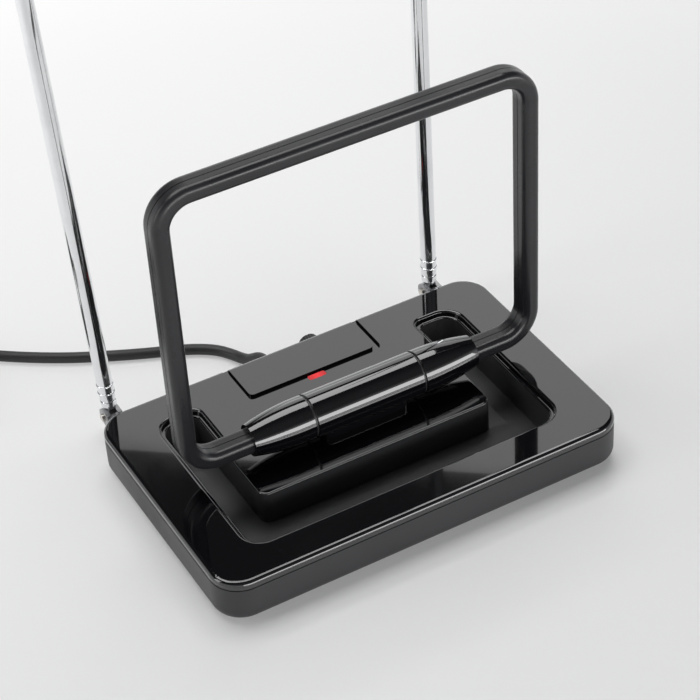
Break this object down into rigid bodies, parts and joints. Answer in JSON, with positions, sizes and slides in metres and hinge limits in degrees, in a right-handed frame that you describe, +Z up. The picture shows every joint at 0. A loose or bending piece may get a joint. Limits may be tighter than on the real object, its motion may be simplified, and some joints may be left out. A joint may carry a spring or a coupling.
{
  "type": "indoor tv antenna",
  "caption": "Indoor television antenna with a heavy rectangular base, a loop that tilts on a barrel hub, and telescopic rods that swivel and fold.",
  "frame": {"origin": "on the table plane, under the middle of the bounding box of everything but the cord, 9.5 mm behind the middle of the base", "axes": "+Z up, +X to the right seen from the front, +Y from the front of the base to its back"},
  "size_m": [0.2845, 0.238, 0.2558],
  "materials": {
    "gloss_cover": "piano black, high gloss",
    "satin_plastic": "satin black",
    "knob_plastic": "satin dark grey",
    "zinc_steel": "zinc plated",
    "tinned_steel": "tin plated sheet",
    "board": "green solder mask",
    "led_chip": "white body",
    "led_red": "translucent red, lit",
    "soft_vinyl": "smooth black vinyl",
    "tie_plastic": "black nylon",
    "washer_plastic": "black acetal",
    "aluminium_tube": "plain drawn",
    "nickel": "nickel plated",
    "brass": "plain turned",
    "copper_wire": "bare copper",
    "rod_chrome": "bright chrome plated",
    "foot_rubber": "soft black"
  },
  "bodies": {
    "base": {"top_cover": "gloss_cover", "base_tray": "satin_plastic", "foot_front_left": "foot_rubber", "foot_front_right": "foot_rubber", "foot_rear_left": "foot_rubber", "foot_rear_right": "foot_rubber", "case_screws": "zinc_steel", "ballast_plate": "zinc_steel", "circuit_board": "board", "board_screws": "zinc_steel", "shield_can": "tinned_steel", "led_chip": "led_chip", "led_window": "led_red", "gain_pot": "knob_plastic", "coax_clamp": "tinned_steel", "cable_gland": "soft_vinyl", "hub_barrel": "gloss_cover", "hub_screws": "zinc_steel", "washer_left": "washer_plastic", "washer_right": "washer_plastic", "rod_left_wire": "copper_wire", "rod_right_wire": "copper_wire", "coax_cable": "soft_vinyl", "cable_coil": "soft_vinyl", "cable_tie": "tie_plastic", "coax_tail": "soft_vinyl", "plug_sleeve": "soft_vinyl", "plug_shell": "nickel", "plug_pin": "brass"},
    "loop": {"spindle": "zinc_steel", "taper_left": "gloss_cover", "taper_right": "gloss_cover", "loop_front_shell": "satin_plastic", "loop_rear_shell": "satin_plastic", "loop_conductor": "aluminium_tube"},
    "knob": {"gain_shaft": "zinc_steel", "gain_knob": "knob_plastic"},
    "rod_left_swivel_stub": {"rod_left_stub": "rod_chrome", "rod_left_nut": "zinc_steel", "rod_left_rivet": "brass"},
    "rod_left_stage_1": {"rod_left_section_1": "rod_chrome"},
    "rod_left_stage_2": {"rod_left_section_2": "rod_chrome"},
    "rod_left_stage_3": {"rod_left_section_3": "rod_chrome"},
    "rod_left_stage_4": {"rod_left_section_4": "rod_chrome"},
    "rod_left_stage_5": {"rod_left_section_5": "rod_chrome", "rod_left_tip": "rod_chrome"},
    "rod_right_swivel_stub": {"rod_right_stub": "rod_chrome", "rod_right_nut": "zinc_steel", "rod_right_rivet": "brass"},
    "rod_right_stage_1": {"rod_right_section_1": "rod_chrome"},
    "rod_right_stage_2": {"rod_right_section_2": "rod_chrome"},
    "rod_right_stage_3": {"rod_right_section_3": "rod_chrome"},
    "rod_right_stage_4": {"rod_right_section_4": "rod_chrome"},
    "rod_right_stage_5": {"rod_right_section_5": "rod_chrome", "rod_right_tip": "rod_chrome"}
  },
  "joints": [
    {"name": "loop_tilt", "type": "hinge", "parent": "base", "child": "loop", "pos_m": [0.004, -0.0069, 0.0322], "axis": [1, 0, 0], "range_deg": [-25, 88]},
    {"name": "gain_knob_turn", "type": "hinge", "parent": "base", "child": "knob", "pos_m": [0.013, 0.0545, 0.0114], "axis": [0, 1, 0], "range_deg": [-140, 140]},
    {"name": "rod_left_swivel", "type": "hinge", "parent": "base", "child": "rod_left_swivel_stub", "pos_m": [-0.0795, 0.0655, 0.0085], "axis": [0, 1, 0], "range_deg": [-82, 30]},
    {"name": "rod_left_fold", "type": "hinge", "parent": "rod_left_swivel_stub", "child": "rod_left_stage_1", "pos_m": [-0.0795, 0.0655, 0.0085], "axis": [0.9991, 0, 0.0419], "range_deg": [-85, 0]},
    {"name": "rod_left_slide_1", "type": "slide", "parent": "rod_left_stage_1", "child": "rod_left_stage_2", "axis": [-0.0419, 0, 0.9991], "range_m": [0, 0.195]},
    {"name": "rod_left_slide_2", "type": "slide", "parent": "rod_left_stage_2", "child": "rod_left_stage_3", "axis": [-0.0419, 0, 0.9991], "range_m": [0, 0.195]},
    {"name": "rod_left_slide_3", "type": "slide", "parent": "rod_left_stage_3", "child": "rod_left_stage_4", "axis": [-0.0419, 0, 0.9991], "range_m": [0, 0.195]},
    {"name": "rod_left_slide_4", "type": "slide", "parent": "rod_left_stage_4", "child": "rod_left_stage_5", "axis": [-0.0419, 0, 0.9991], "range_m": [0, 0.195]},
    {"name": "rod_right_swivel", "type": "hinge", "parent": "base", "child": "rod_right_swivel_stub", "pos_m": [0.0795, 0.0655, 0.0085], "axis": [0, 1, 0], "range_deg": [-30, 82]},
    {"name": "rod_right_fold", "type": "hinge", "parent": "rod_right_swivel_stub", "child": "rod_right_stage_1", "pos_m": [0.0795, 0.0655, 0.0085], "axis": [1, 0, 0], "range_deg": [-85, 0]},
    {"name": "rod_right_slide_1", "type": "slide", "parent": "rod_right_stage_1", "child": "rod_right_stage_2", "axis": [0, 0, 1], "range_m": [0, 0.195]},
    {"name": "rod_right_slide_2", "type": "slide", "parent": "rod_right_stage_2", "child": "rod_right_stage_3", "axis": [0, 0, 1], "range_m": [0, 0.195]},
    {"name": "rod_right_slide_3", "type": "slide", "parent": "rod_right_stage_3", "child": "rod_right_stage_4", "axis": [0, 0, 1], "range_m": [0, 0.195]},
    {"name": "rod_right_slide_4", "type": "slide", "parent": "rod_right_stage_4", "child": "rod_right_stage_5", "axis": [0, 0, 1], "range_m": [0, 0.195]}
  ]
}
